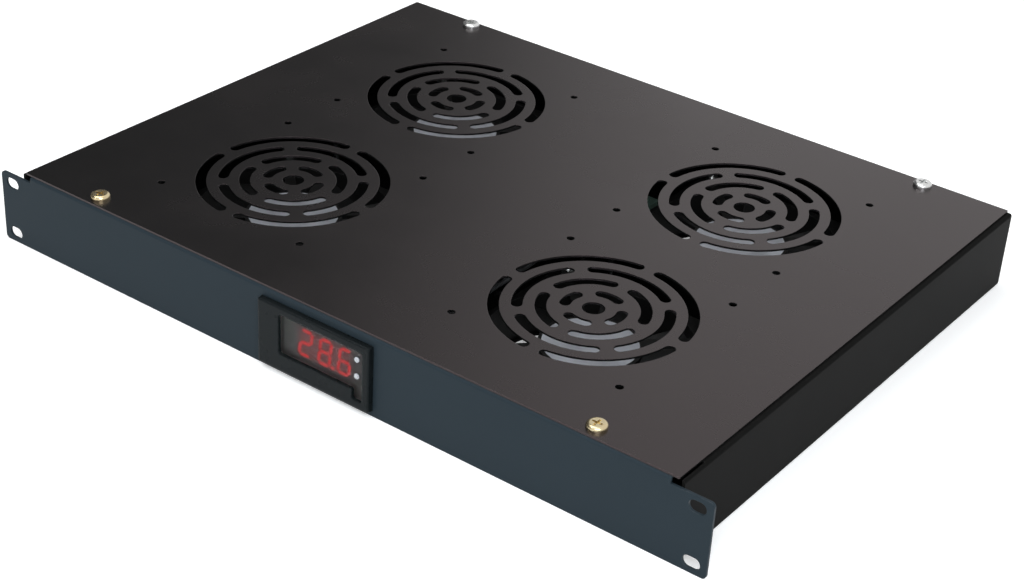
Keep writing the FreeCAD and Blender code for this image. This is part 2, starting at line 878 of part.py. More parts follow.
def drawer_box(clearance, y0, y1):
    half = drawer_width / 2 + clearance
    tall = drawer_height / 2 + clearance
    middle = inlet_centre_z + drawer_centre
    return box(-half, half, y0, y1, middle - tall, middle + tall)


def fuse_drawer():
    mouth = back_face + inlet_flange_thickness
    body = drawer_box(0, mouth - drawer_depth, mouth)
    middle = inlet_centre_z + drawer_centre
    grip_half = drawer_width / 4
    grip = box(-grip_half, grip_half, mouth, mouth + drawer_proud, middle - 1.0, middle + drawer_height / 2)
    half = fuse_length / 2 + fuse_gap
    near = mouth - drawer_depth + drawer_wall
    far = near + 2 * (fuse_radius + fuse_gap)
    tray = box(-half, half, near, far, middle - fuse_radius, middle + drawer_height)
    return fuse([body, grip]).cut(tray)


def fuse_link():
    middle = inlet_centre_z + drawer_centre
    y = back_face + inlet_flange_thickness - drawer_depth + drawer_wall + fuse_gap + fuse_radius
    return Part.makeCylinder(fuse_radius, fuse_length, Vector(-fuse_length / 2, y, middle), Vector(1, 0, 0))


def inlet_screws():
    seat = back_face + inlet_flange_thickness
    crown = seat + inlet_head_height
    end = back_face - tray_sheet - inlet_nut_height - inlet_screw_end
    wide = inlet_head_slot / 2
    low = inlet_centre_z - inlet_head_diameter
    high = inlet_centre_z + inlet_head_diameter
    screws = []
    for x in inlet_screw_xs():
        head = rod_y(x, inlet_centre_z, seat, crown, inlet_head_diameter / 2)
        shank = rod_y(x, inlet_centre_z, end, seat, inlet_screw_diameter / 2)
        slot = box(x - wide, x + wide, seat + inlet_head_height / 2, crown + 1, low, high)
        screws.append(fuse([head, shank]).cut(slot))
    return screws


def inlet_nuts():
    nuts = []
    for x in inlet_screw_xs():
        bore = rod(0, 0, -1, inlet_nut_height + 1, inlet_screw_diameter / 2)
        nut = hexagon(0, 0, 0, inlet_nut_height, inlet_nut_flats).cut(bore)
        nut.rotate(Vector(0, 0, 0), Vector(1, 0, 0), 90)
        nut.translate(Vector(x, back_face - tray_sheet, inlet_centre_z))
        nuts.append(nut)
    return nuts


# ---------------------------------------------------------------- terminal block and leads
def clamp_xs():
    pitch = block_width / clamp_count
    return [-block_width / 2 + pitch * (number + 0.5) for number in range(clamp_count)]


def terminal_block():
    half = block_width / 2
    back = block_front + block_depth
    top = floor_top + block_height
    lug_top = floor_top + block_lug_height
    body = box(-half, half, block_front, back, floor_top, top)
    lugs = box(-half - block_lug, half + block_lug, block_front, back, floor_top, lug_top)
    wells = [rod(x, y, top - well_depth, top + 1, clamp_radius)
             for x in clamp_xs() for y in (block_front + clamp_edge, back - clamp_edge)]
    holes = [rod(x, y, floor_top - 1, lug_top + 1, stud_diameter / 2 + block_hole_gap)
             for x, y in short_stud_places()[:2]]
    return cut(fuse([body, lugs]), wells + holes)


def lead(points, diameter):
    """A round lead along straight runs joined by arcs that are as large as the runs allow."""
    points = [Vector(*point) for point in points]
    edges = []
    radii = []
    start = points[0]
    for before, corner, after in zip(points, points[1:], points[2:]):
        one = before - corner
        two = after - corner
        shorter = min(one.Length, two.Length)
        one.normalize()
        two.normalize()
        inside = math.acos(max(-1, min(1, one.dot(two))))
        turn = math.pi - inside
        setback = 0.45 * shorter
        radius = setback / math.tan(turn / 2)
        radii.append(radius / diameter)
        entry = corner + one * setback
        leave = corner + two * setback
        bisector = one + two
        bisector.normalize()
        depth = radius / math.cos(turn / 2) - radius
        middle = corner + bisector * depth
        edges.append(Part.LineSegment(start, entry).toShape())
        edges.append(Part.Arc(entry, middle, leave).toShape())
        start = leave
    edges.append(Part.LineSegment(start, points[-1]).toShape())
    path = Part.Wire(edges)
    direction = points[1] - points[0]
    section = Part.Wire([Part.makeCircle(diameter / 2, points[0], direction)])
    solid = path.makePipeShell([section], True, False)
    expected = math.pi * (diameter / 2) ** 2 * path.Length
    ratio = solid.Volume / expected
    print(f"lead {path.Length:.0f} mm, smallest bend {min(radii):.1f} diameters, volume ratio {ratio:.4f}")
    return solid


def lead_height():
    return floor_top + lead_diameter / 2 + lead_lift


def entry_height():
    return floor_top + block_entry


def tab_end():
    return back_face - inlet_body_depth - tab_length


def terminals_rear():
    return front_face + case_depth + terminals_depth


def front_lead_points(side):
    start_x = fan_offset_x - fan_size / 2
    start_y = fan_rows[0][1] + lead_exit
    start_z = fan_top - fan_flange / 2
    low = lead_height()
    line = clip_line
    points = [(start_x, start_y, start_z),
              (start_x - 7.7, start_y, start_z),
              (start_x - 13.6, start_y + 3.4, start_z - 3.8),
              (line - 0.9, start_y + 8.6, start_z - 9.4),
              (line - 1.3, start_y + 15.4, low + 6.2),
              (line - 0.7, start_y + 24, low + 1.7),
              (line, start_y + 37, low),
              (line, start_y + 62, low),
              (line - 2, block_front - 52, low + 0.3),
              (line - 5.5, block_front - 28, low + 1.2),
              (line - 12, block_front - 14, low + 3),
              (line - 15.5, block_front - 7.5, entry_height()),
              (line - 15.5, block_front, entry_height())]
    return [(side * x, y, z) for x, y, z in points]


def back_lead_points(side):
    start_x = fan_offset_x - fan_size / 2
    start_y = block_front - 34
    start_z = fan_top - fan_flange / 2
    end_x = start_x - 18.2
    points = [(start_x, start_y, start_z),
              (start_x - 8, start_y, start_z),
              (start_x - 13.7, start_y + 3.8, start_z - 3.6),
              (end_x + 1.4, start_y + 9.4, start_z - 8.6),
              (end_x + 0.2, start_y + 16.4, entry_height() + 3.8),
              (end_x, start_y + 24.6, entry_height()),
              (end_x, block_front, entry_height())]
    return [(side * x, y, z) for x, y, z in points]


def thermostat_lead_points():
    rear = terminals_rear()
    start_z = bezel_centre_z - terminal_entry_drop
    low = lead_height()
    return [(7.0, rear, start_z),
            (7.0, rear + 9, start_z),
            (7.8, rear + 18, start_z - 5.5),
            (8.6, rear + 28, low + 3.4),
            (thermostat_lead_x, rear + 42, low),
            (thermostat_lead_x, rear + 70, low),
            (8.0, rear + 118, low + 0.2),
            (5.5, block_front - 42, low + 0.6),
            (2.0, block_front - 20, low + 2),
            (0.0, block_front - 9, entry_height()),
            (0.0, block_front, entry_height())]


def probe_lead_points():
    rear = terminals_rear()
    start_z = bezel_centre_z - terminal_entry_drop
    low = probe_height()
    return [(-9.0, rear, start_z),
            (-9.0, rear + 8, start_z),
            (-10.2, rear + 16, start_z - 5),
            (-12.0, rear + 25, low + 2.8),
            (-13.0, rear + 37, low),
            (-13.0, rear + 49, low)]


def probe_height():
    return floor_top + probe_diameter / 2 + lead_lift


def mains_lead_points(side):
    z = inlet_centre_z + socket_centre - pin_offset
    back = block_front + block_depth
    start = tab_end()
    x = pin_spacing / 2
    points = [(x, start, z),
              (x, start - 7, z),
              (x + 1.6, start - 13.2, z - 2.8),
              (x + 3.4, start - 18.6, z - 7.6),
              (x + 4.8, start - 23.8, z - 13),
              (x + 5.2, back + 8, entry_height()),
              (x + 5.2, back, entry_height())]
    return [(side * px, py, pz) for px, py, pz in points]


def earth_lead_points():
    x, y = earth_place()
    z = inlet_centre_z + socket_centre + pin_offset
    start = tab_end()
    barrel = x + tag_reach
    low = floor_top + lead_diameter / 2 + lead_floor_gap
    return [(0, start, z),
            (0, start - 6, z),
            (-1.8, start - 10.8, z - 3.2),
            (-4.8, y + 0.8, z - 8.2),
            (-8.2, y + 0.1, z - 13.8),
            (-12, y, z - 19.6),
            (-16.6, y, low + 3.2),
            (-21.8, y, low),
            (barrel, y, low)]


def earth_tag():
    """A ring terminal on the earth stud with a short barrel towards the lead."""
    x, y = earth_place()
    half = tag_width / 2
    top = floor_top + tag_thickness
    start = x + tag_reach - tag_barrel
    barrel_top = floor_top + lead_diameter + 2 * lead_floor_gap
    ring_end = rod(x, y, floor_top, top, tag_radius)
    tongue = box(x, start + 1, y - half, y + half, floor_top, top)
    barrel = box(start, x + tag_reach, y - half, y + half, floor_top, barrel_top)
    return fuse([ring_end, tongue, barrel]).cut(rod(x, y, floor_top - 1, top + 1, stud_diameter / 2))


def saddle_clip(x, y, z, radius):
    """Stick-on saddle, open at the top, that holds a lead or the probe on the floor."""
    outer = radius + clip_gap + clip_wall
    body = box(x - outer, x + outer, y - clip_length / 2, y + clip_length / 2, floor_top, z + radius)
    bore = rod_y(x, z, y - clip_length, y + clip_length, radius + clip_gap)
    mouth = box(x - radius * 0.8, x + radius * 0.8, y - clip_length, y + clip_length, z, z + radius + 1)
    return body.cut([bore, mouth])


def temperature_probe():
    x, y, z = probe_lead_points()[-1]
    body = rod_y(x, z, y, y + probe_length, probe_diameter / 2)
    return fillet_where(body, probe_tip_round, lambda edge: edge.CenterOfMass.y > y + probe_length - 0.01)


# ---------------------------------------------------------------- write every piece
save("base_tray", base_tray())
save("front_panel", front_panel())
save("top_cover", top_cover())
save("front_cover_screws", [cover_screw(sx * cover_screw_x, screw_front_y) for sx in (-1, 1)])
save("rear_cover_screws", [cover_screw(sx * cover_screw_x, screw_back_y) for sx in (-1, 1)])
save("cover_nuts", [clinch_nut(sx * cover_screw_x, y, top) for sx in (-1, 1)
                    for y, top in ((screw_front_y, flange_under), (screw_back_y, tray_top - tray_sheet))])

for place, fan_x, fan_y in fan_places:
    save(f"{place}_fan_frame", fan_frame(fan_x, fan_y))
    save(f"{place}_fan_label", fan_label(fan_x, fan_y))
    save(f"{place}_fan_stator", fan_stator(fan_x, fan_y))
    save(f"{place}_fan_bearings", fan_bearings(fan_x, fan_y))
    save(f"{place}_fan_shaft", fan_shaft(fan_x, fan_y))
    save(f"{place}_fan_rotor", fan_rotor(fan_x, fan_y))

block_seat = floor_top + block_lug_height
tag_seat = floor_top + tag_thickness
short_seats = [block_seat, block_seat, tag_seat]
save("fan_studs", [stud(x, y, fan_top) for x, y in long_stud_places()])
save("short_studs", [stud(x, y, seat) for (x, y), seat in zip(short_stud_places(), short_seats)])
save("stud_nuts", [stud_nut(x, y, fan_top) for x, y in long_stud_places()]
     + [stud_nut(x, y, seat) for (x, y), seat in zip(short_stud_places(), short_seats)])

save("thermostat_bezel", thermostat_bezel())
save("thermostat_window", thermostat_window())
save("thermostat_case", thermostat_case())
save("thermostat_clips", thermostat_clips())
save("thermostat_terminals", thermostat_terminals())
save("display_board", display_board())
save("display_digits", display_digits())
save("control_board", control_board())
save("up_key", thermostat_key(key_heights()[0]))
save("down_key", thermostat_key(key_heights()[1]))

save("power_inlet", power_inlet())
save("inlet_pins", inlet_pins())
save("inlet_screws", inlet_screws())
save("inlet_nuts", inlet_nuts())
save("fuse_drawer", fuse_drawer())
save("fuse_link", fuse_link())

save("terminal_block", terminal_block())
save("mains_leads", [lead(mains_lead_points(side), lead_diameter) for side in (-1, 1)])
save("earth_lead", [lead(earth_lead_points(), lead_diameter), earth_tag()])
save("fan_leads", [lead(points(side), lead_diameter) for points in (front_lead_points, back_lead_points)
                   for side in (-1, 1)])
save("thermostat_lead", lead(thermostat_lead_points(), lead_diameter))
save("probe_lead", lead(probe_lead_points(), probe_lead_diameter))
save("temperature_probe", temperature_probe())
probe_x, probe_y, probe_z = probe_lead_points()[-1]
save("probe_clip", saddle_clip(probe_x, probe_y + probe_length / 2, probe_z, probe_diameter / 2))
fan_clip_y = fan_rows[0][1] + lead_exit + 50
clip_places = [(-clip_line, fan_clip_y), (clip_line, fan_clip_y), (thermostat_lead_x, terminals_rear() + 56)]
save("lead_clips", [saddle_clip(x, y, lead_height(), lead_diameter / 2) for x, y in clip_places])

print(len(made), "nodes")
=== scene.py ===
# %% [markdown]
# Rack fan tray: dressing the measured parts.
#
# The sheet metal, fans, screws, leads and thermostat arrive as finished shapes, each in its
# own place. This lesson gives each of them the surface it has on the bench: powder coat,
# zinc plate, moulded plastic, foil and copper. It also sets up the camera, the floor and the
# lamps. It adds no shapes: every piece that shows is one of the measured parts.

import bmesh
import bpy
from mathutils import Matrix, Vector


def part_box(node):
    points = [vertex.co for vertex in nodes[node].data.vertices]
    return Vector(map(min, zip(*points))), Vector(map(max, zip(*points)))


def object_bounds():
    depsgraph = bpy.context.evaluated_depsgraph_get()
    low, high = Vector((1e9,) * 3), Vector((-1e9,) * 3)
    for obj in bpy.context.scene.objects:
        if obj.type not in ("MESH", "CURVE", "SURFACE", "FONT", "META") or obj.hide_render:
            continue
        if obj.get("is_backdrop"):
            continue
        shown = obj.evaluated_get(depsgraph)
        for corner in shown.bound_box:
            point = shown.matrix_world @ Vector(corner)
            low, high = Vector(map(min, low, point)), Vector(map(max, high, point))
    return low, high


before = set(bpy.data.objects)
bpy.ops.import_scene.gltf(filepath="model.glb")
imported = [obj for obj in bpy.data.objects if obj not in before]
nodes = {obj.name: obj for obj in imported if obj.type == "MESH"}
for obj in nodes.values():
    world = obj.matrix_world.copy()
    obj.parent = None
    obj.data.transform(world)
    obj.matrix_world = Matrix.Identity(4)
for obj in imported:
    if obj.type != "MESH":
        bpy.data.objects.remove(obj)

cad_low, cad_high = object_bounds()
scene = bpy.context.scene
print(len(nodes), "parts, from", [round(v, 4) for v in cad_low])
print("to", [round(v, 4) for v in cad_high])

# %% [markdown]
# The camera comes first, because every later choice is judged through it. It stands in front
# of the tray, to its right and well above it, and looks down at about thirty degrees with a
# lens somewhat longer than a normal one, so that the sides converge only a little. A camera
# can be aimed with a constraint. Here its three axes are written down instead, because the
# tray also leans a little in the view and a constraint would keep it level.

# %% Camera
camera_data = bpy.data.cameras.new("camera")
camera_data.sensor_width = 36.0
camera_data.lens = 70.8357
camera = bpy.data.objects.new("camera", camera_data)
scene.collection.objects.link(camera)
right_axis = Vector((0.79566, 0.60344, 0.05286))
up_axis = Vector((-0.34452, 0.37903, 0.85886))
back_axis = Vector((0.49823, -0.70157, 0.50947))
turn = Matrix((right_axis, up_axis, back_axis)).transposed().to_4x4()
camera.matrix_world = Matrix.Translation((0.58950, -0.83397, 0.58569)) @ turn
camera_data.clip_start = 0.05
camera_data.clip_end = 60.0
scene.camera = camera
print("camera at", [round(v, 3) for v in camera.location])

# %% [markdown]
# A shader is a chain of small boxes. These helpers add a box, join two boxes, start a group,
# and make the two boxes that come up most, so that the recipes below read as one step a line.

# %% Helpers for shader chains


def box(tree, kind, at=(0, 0), **settings):
    """Adds one shader node; the settings are its inputs or its own properties."""
    made = tree.nodes.new(kind)
    made.location = at
    for key, value in settings.items():
        label = key.replace("_", " ")
        if label in made.inputs:
            made.inputs[label].default_value = value
        else:
            setattr(made, key, value)
    return made


def join(tree, source, out, target, into):
    tree.links.new(source.outputs[out], target.inputs[into])


def new_group(name, inputs, outputs):
    """An empty shader group with named inputs and outputs, and its two end nodes."""
    tree = bpy.data.node_groups.new(name, "ShaderNodeTree")
    for label, kind, value in inputs:
        made = tree.interface.new_socket(label, in_out="INPUT", socket_type=kind)
        made.default_value = value
    for label, kind in outputs:
        tree.interface.new_socket(label, in_out="OUTPUT", socket_type=kind)
    start = tree.nodes.new("NodeGroupInput")
    end = tree.nodes.new("NodeGroupOutput")
    start.location = (-800, 0)
    end.location = (800, 0)
    return tree, start, end


def one_over(tree, start, size, at):
    """Turns a size in metres into a noise scale."""
    made = box(tree, "ShaderNodeMath", at, operation="DIVIDE")
    made.inputs[0].default_value = 1.0
    join(tree, start, size, made, 1)
    return made


def remap(tree, low, high, at, **settings):
    """A box that takes values from low to high to the range from 0 to 1."""
    made = box(tree, "ShaderNodeMapRange", at, **settings)
    made.inputs["From Min"].default_value = low
    made.inputs["From Max"].default_value = high
    return made


NUMBER = "NodeSocketFloat"

# %% [markdown]
# Grain. Powder coat isn't flat: it dries with a fine orange peel, bumps about a millimetre
# across. Moulded plastic has a finer spark texture. Both can be one noise at two sizes, the
# fine one for height and a far larger one for tone, so one group serves every finish and only
# its grain size changes.

# %% Group: grain
grain, start, end = new_group(
    "grain",
    [("Size", NUMBER, 0.001), ("Patch", NUMBER, 0.05)],
    [("Height", NUMBER), ("Tone", NUMBER)],
)
place = box(grain, "ShaderNodeTexCoord", (-800, 300))
fine = one_over(grain, start, "Size", (-600, 0))
coarse = one_over(grain, start, "Patch", (-600, -200))
bumps = box(grain, "ShaderNodeTexNoise", (-300, 100), Detail=2.0, Roughness=0.5)
join(grain, place, "Object", bumps, "Vector")
join(grain, fine, 0, bumps, "Scale")
patches = box(grain, "ShaderNodeTexNoise", (-300, -200), Detail=3.0, Roughness=0.55)
join(grain, place, "Object", patches, "Vector")
join(grain, coarse, 0, patches, "Scale")
join(grain, bumps, 0, end, "Height")
join(grain, patches, 0, end, "Tone")
print("group", grain.name)

# %% [markdown]
# Worn edges. Paint is thinnest on a folded or punched edge and rubs through there first. The
# Bevel node finds those edges without any painting: where the rounded normal it returns
# differs from the true one, there is an edge. A noise breaks the line up, because nothing
# wears evenly.

# %% Group: edge wear
edge_wear, start, end = new_group(
    "edge_wear",
    [("Radius", NUMBER, 0.0006), ("Break Up", NUMBER, 0.004)],
    [("Mask", NUMBER)],
)
rounded = box(edge_wear, "ShaderNodeBevel", (-600, 200), samples=4)
join(edge_wear, start, "Radius", rounded, "Radius")
flat = box(edge_wear, "ShaderNodeNewGeometry", (-600, 0))
agree = box(edge_wear, "ShaderNodeVectorMath", (-400, 100), operation="DOT_PRODUCT")
join(edge_wear, rounded, "Normal", agree, 0)
join(edge_wear, flat, "Normal", agree, 1)
edge = remap(edge_wear, 0.985, 0.85, (-200, 100), clamp=True)
join(edge_wear, agree, "Value", edge, "Value")
place = box(edge_wear, "ShaderNodeTexCoord", (-800, -300))
pitch = one_over(edge_wear, start, "Break Up", (-600, -200))
patchy = box(edge_wear, "ShaderNodeTexNoise", (-400, -200), Detail=4.0, Roughness=0.65)
join(edge_wear, place, "Object", patchy, "Vector")
join(edge_wear, pitch, 0, patchy, "Scale")
chips = remap(edge_wear, 0.45, 0.65, (-200, -200), clamp=True)
join(edge_wear, patchy, 0, chips, "Value")
both = box(edge_wear, "ShaderNodeMath", (100, 0), operation="MULTIPLY")
join(edge_wear, edge, 0, both, 0)
join(edge_wear, chips, 0, both, 1)
join(edge_wear, both, 0, end, "Mask")
print("group", edge_wear.name)

# %% [markdown]
# Dust. It settles on what faces up, in drifts a few centimetres wide with fine specks in
# them. The upward part of the surface's normal is the mask, and two noises thin it out.

# %% Group: dust
dust, start, end = new_group("dust", [("Drift", NUMBER, 0.04)], [("Mask", NUMBER)])
flat = box(dust, "ShaderNodeNewGeometry", (-800, 200))
parts = box(dust, "ShaderNodeSeparateXYZ", (-600, 200))
join(dust, flat, "Normal", parts, 0)
upward = remap(dust, 0.3, 1.0, (-400, 200), clamp=True)
join(dust, parts, "Z", upward, "Value")
place = box(dust, "ShaderNodeTexCoord", (-800, -200))
pitch = one_over(dust, start, "Drift", (-600, -100))
drifts = box(dust, "ShaderNodeTexNoise", (-400, -100), Detail=5.0, Roughness=0.6)
join(dust, place, "Object", drifts, "Vector")
join(dust, pitch, 0, drifts, "Scale")
specks = box(dust, "ShaderNodeTexNoise", (-400, -350), Scale=900.0, Detail=1.0)
join(dust, place, "Object", specks, "Vector")
speckled = remap(dust, 0.5, 0.72, (-200, -350), clamp=True)
join(dust, specks, 0, speckled, "Value")
thin = box(dust, "ShaderNodeMath", (0, -200), operation="MULTIPLY")
join(dust, drifts, 0, thin, 0)
join(dust, speckled, 0, thin, 1)
settled = box(dust, "ShaderNodeMath", (200, 0), operation="MULTIPLY")
join(dust, upward, 0, settled, 0)
join(dust, thin, 0, settled, 1)
join(dust, settled, 0, end, "Mask")
print("group", dust.name)

# %% [markdown]
# Brush lines. Rolled sheet, ground pins and plated screws all carry fine lines in one
# direction. A noise squeezed along two axes and stretched along the third gives them.

# %% Group: brush lines
brushed, start, end = new_group(
    "brushed",
    [("Stretch", "NodeSocketVector", (2500.0, 2500.0, 60.0))],
    [("Lines", NUMBER)],
)
place = box(brushed, "ShaderNodeTexCoord", (-800, 0))
squeeze = box(brushed, "ShaderNodeVectorMath", (-500, 0), operation="MULTIPLY")
join(brushed, place, "Object", squeeze, 0)
join(brushed, start, "Stretch", squeeze, 1)
lines = box(brushed, "ShaderNodeTexNoise", (-200, 0), Scale=1.0, Detail=2.0)
join(brushed, squeeze, 0, lines, "Vector")
join(brushed, lines, 0, end, "Lines")
print("group", brushed.name)

# %% [markdown]
# A recipe for one finish. Every finish here is the same idea with its own values: a base
# colour that drifts between two close shades, a worn colour on the edges, dust on top, a
# roughness that follows the tone, and the grain as a bump. So one function makes them all,
# and a finish is one short call.

# %% Finish recipe


def finish(name, shade, other_shade, roughness, grain_size, grain_depth, *, spread=0.05,
           patch=0.05, worn=None, wear_radius=0.0005, dusty=0.0, metallic=0.0, coat=0.0,
           index=1.5, specular=0.5, sheen=(1, 1, 1), soften=0.00025,
           lines=None, bump=0.6):
    """One material. Sizes are in metres, colours are linear.

    spread is how far the roughness drifts, patch the width of the patches of tone, sheen a
    tint painted onto the reflection, which stands in for the colour of the light, and soften
    the radius that edges seem to have.
    """
    made = bpy.data.materials.new(name)
    made.use_nodes = True
    tree = made.node_tree
    tree.nodes.clear()
    shader = box(tree, "ShaderNodeBsdfPrincipled", (600, 0), Metallic=metallic, IOR=index)
    shader.inputs["Coat Weight"].default_value = coat
    shader.inputs["Coat Roughness"].default_value = 0.1
    shader.inputs["Specular IOR Level"].default_value = specular
    shader.inputs["Specular Tint"].default_value = (*sheen, 1)
    output = box(tree, "ShaderNodeOutputMaterial", (900, 0))
    join(tree, shader, "BSDF", output, "Surface")
    texture = box(tree, "ShaderNodeGroup", (-600, 0), node_tree=grain)
    texture.inputs["Size"].default_value = grain_size
    texture.inputs["Patch"].default_value = patch
    tint = box(tree, "ShaderNodeMix", (-300, 200), data_type="RGBA")
    tint.inputs[6].default_value = (*shade, 1)
    tint.inputs[7].default_value = (*other_shade, 1)
    join(tree, texture, "Tone", tint, 0)
    colour = (tint, 2)
    if worn:
        edges = box(tree, "ShaderNodeGroup", (-600, -250), node_tree=edge_wear)
        edges.inputs["Radius"].default_value = wear_radius
        rubbed = box(tree, "ShaderNodeMix", (0, 200), data_type="RGBA")
        rubbed.inputs[7].default_value = (*worn, 1)
        join(tree, edges, "Mask", rubbed, 0)
        join(tree, *colour, rubbed, 6)
        colour = (rubbed, 2)
    rough = remap(tree, 0.3, 0.7, (0, -100))
    rough.inputs["To Min"].default_value = max(0.02, roughness - spread)
    rough.inputs["To Max"].default_value = roughness + spread
    join(tree, texture, "Tone", rough, "Value")
    roughened = (rough, 0)
    if dusty:
        film = box(tree, "ShaderNodeGroup", (-600, -450), node_tree=dust)
        amount = box(tree, "ShaderNodeMath", (-200, -400), operation="MULTIPLY")
        amount.inputs[1].default_value = dusty
        join(tree, film, "Mask", amount, 0)
        powder = box(tree, "ShaderNodeMix", (250, 200), data_type="RGBA")
        powder.inputs[7].default_value = (0.42, 0.4, 0.37, 1)
        join(tree, amount, 0, powder, 0)
        join(tree, *colour, powder, 6)
        colour = (powder, 2)
        dull = box(tree, "ShaderNodeMix", (250, -100), data_type="FLOAT")
        dull.inputs[3].default_value = 0.9
        join(tree, amount, 0, dull, 0)
        join(tree, *roughened, dull, 2)
        roughened = (dull, 0)
    join(tree, *colour, shader, "Base Color")
    join(tree, *roughened, shader, "Roughness")
    height = (texture, "Height")
    if lines:
        marks = box(tree, "ShaderNodeGroup", (-600, -650), node_tree=brushed)
        marks.inputs["Stretch"].default_value = lines
        height = (marks, "Lines")
    relief = box(tree, "ShaderNodeBump", (300, -300), Strength=bump, Distance=grain_depth)
    join(tree, *height, relief, "Height")
    if soften:
        round_off = box(tree, "ShaderNodeBevel", (0, -500), samples=4, Radius=soften)
        join(tree, round_off, "Normal", relief, "Normal")
    join(tree, relief, "Normal", shader, "Normal")
    return made


def dress(material, *names):
    """Puts one finish on the named parts."""
    for name in names:
        mesh = nodes[name].data
        mesh.materials.clear()
        mesh.materials.append(material)
    print(material.name, "on", len(names), "parts")


fans = ["front_left", "front_right", "back_left", "back_right"]

# %% [markdown]
# Sheet metal. The tray and its cover are folded from steel sheet and powder coated satin
# black. The front panel's coat is a shade bluer. The cover's reflection carries a painted warm
# tint and the panel's a painted bluish one; these tints stand in for the colour of the light
# on them. The tray and the panel are duller than the cover, so they have a lower specular
# level.

# %% Powder coat
# The cover's sheen below is a painted warm tint on its reflection, in place of warm light.
cover_coat = finish("cover_coat", (0.0034, 0.0042, 0.0043), (0.0046, 0.0054, 0.0054), 0.26,
                    0.0011, 0.00003, spread=0.03, patch=0.08, worn=(0.04, 0.04, 0.04),
                    dusty=0.012, index=1.5, sheen=(1.0, 0.74, 0.76), soften=0.0003)
dress(cover_coat, "top_cover")
tray_coat = finish("tray_coat", (0.0050, 0.0050, 0.0048), (0.0068, 0.0066, 0.0064), 0.36,
                   0.0011, 0.00004, spread=0.03, patch=0.08, worn=(0.04, 0.04, 0.04),
                   dusty=0.012, specular=0.01, soften=0.0003)
dress(tray_coat, "base_tray")
# The panel's sheen below is a painted bluish tint on its reflection, in place of cool light.
panel_coat = finish("panel_coat", (0.0192, 0.0280, 0.0350), (0.0225, 0.0328, 0.0408), 0.37,
                    0.0010, 0.00004, spread=0.03, patch=0.07, worn=(0.07, 0.08, 0.09),
                    dusty=0.012, specular=0.06, sheen=(0.85, 0.95, 1.0), soften=0.0004)
dress(panel_coat, "front_panel")

# %% [markdown]
# Screws, nuts and studs. The two screws at the front are yellow passivated zinc, which is
# never one colour: it runs from straw to a faint green and pink. The others are bright zinc.

# %% Zinc plate
yellow_zinc = finish("yellow_zinc", (0.64, 0.49, 0.28), (0.58, 0.54, 0.36), 0.28, 0.0006,
                     0.00003, spread=0.06, patch=0.004, worn=(0.8, 0.78, 0.7), metallic=1.0,
                     soften=0.0002)
dress(yellow_zinc, "front_cover_screws")
bright_zinc = finish("bright_zinc", (0.62, 0.62, 0.60), (0.72, 0.73, 0.74), 0.3, 0.0006,
                     0.00003, spread=0.08, patch=0.004, worn=(0.8, 0.8, 0.8), metallic=1.0,
                     soften=0.0002)
dress(bright_zinc, "rear_cover_screws", "cover_nuts", "fan_studs", "short_studs", "stud_nuts",
      "inlet_screws", "inlet_nuts")

# %% [markdown]
# Fans. A mains fan of this size has a die cast aluminium frame, painted black, and a black
# plastic rotor filled with glass, which leaves it matt. The disc on the motor is foil.

# %% Fans
frame_paint = finish("frame_paint", (0.003, 0.003, 0.003), (0.006, 0.006, 0.006), 0.5, 0.0008,
                     0.00006, spread=0.05, patch=0.02, worn=(0.08, 0.08, 0.08), dusty=0.02,
                     specular=0.2)
dress(frame_paint, *[fan + "_fan_frame" for fan in fans])
rotor_plastic = finish("rotor_plastic", (0.005, 0.005, 0.0055), (0.008, 0.008, 0.008), 0.5,
                       0.0004, 0.00002, spread=0.05, patch=0.02, worn=(0.03, 0.03, 0.03),
                       dusty=0.03, specular=0.35)
dress(rotor_plastic, *[fan + "_fan_rotor" for fan in fans])
label_foil = finish("label_foil", (0.58, 0.61, 0.67), (0.64, 0.66, 0.72), 0.34, 0.002, 0.00003,
                    spread=0.06, patch=0.02, metallic=0.35, soften=0.0,
                    lines=(60.0, 2500.0, 2500.0))
dress(label_foil, *[fan + "_fan_label" for fan in fans])
stator_copper = finish("stator_copper", (0.42, 0.17, 0.07), (0.6, 0.28, 0.12), 0.35, 0.0004,
                       0.0001, spread=0.05, patch=0.003, metallic=0.8,
                       lines=(40.0, 40.0, 3500.0))
dress(stator_copper, *[fan + "_fan_stator" for fan in fans])
ground_steel = finish("ground_steel", (0.55, 0.55, 0.55), (0.65, 0.65, 0.65), 0.22, 0.0005,
                      0.00001, spread=0.05, patch=0.005, metallic=1.0,
                      lines=(2500.0, 2500.0, 100.0))
dress(ground_steel, *[fan + "_fan_" + part for fan in fans for part in ("bearings", "shaft")])

# %% [markdown]
# Thermostat. Its bezel is moulded black plastic with a fine spark texture, its face a smoked
# film over red segments, and its two keys pale grey dots. The film is a matt one, with a low
# refractive index so that it hides little of what is behind it.

# %% Thermostat
# The bezel's sheen below is a painted bluish tint on its reflection, in place of cool light,
# as on the panel.
bezel_plastic = finish("bezel_plastic", (0.0045, 0.0062, 0.0068), (0.0060, 0.0078, 0.0085),
                       0.28, 0.0003, 0.00002, spread=0.04, patch=0.02,
                       worn=(0.05, 0.06, 0.065), dusty=0.012, specular=0.1,
                       sheen=(0.85, 0.95, 1.0), soften=0.0013)
dress(bezel_plastic, "thermostat_bezel")
case_plastic = finish("case_plastic", (0.012, 0.012, 0.012), (0.017, 0.017, 0.017), 0.45,
                      0.0004, 0.00003, patch=0.02, worn=(0.05, 0.05, 0.05), dusty=0.04)
dress(case_plastic, "thermostat_case", "thermostat_clips")
face_film = finish("face_film", (0.55, 0.50, 0.50), (0.60, 0.54, 0.54), 0.34, 0.0008,
                   0.000002, spread=0.03, patch=0.02, index=1.3, soften=0.0)
face_film.node_tree.nodes["Principled BSDF"].inputs["Transmission Weight"].default_value = 1.0
dress(face_film, "thermostat_window")
key_plastic = finish("key_plastic", (0.44, 0.46, 0.49), (0.50, 0.52, 0.55), 0.4, 0.0003,
                     0.00001, patch=0.003, soften=0.0001)
dress(key_plastic, "up_key", "down_key")
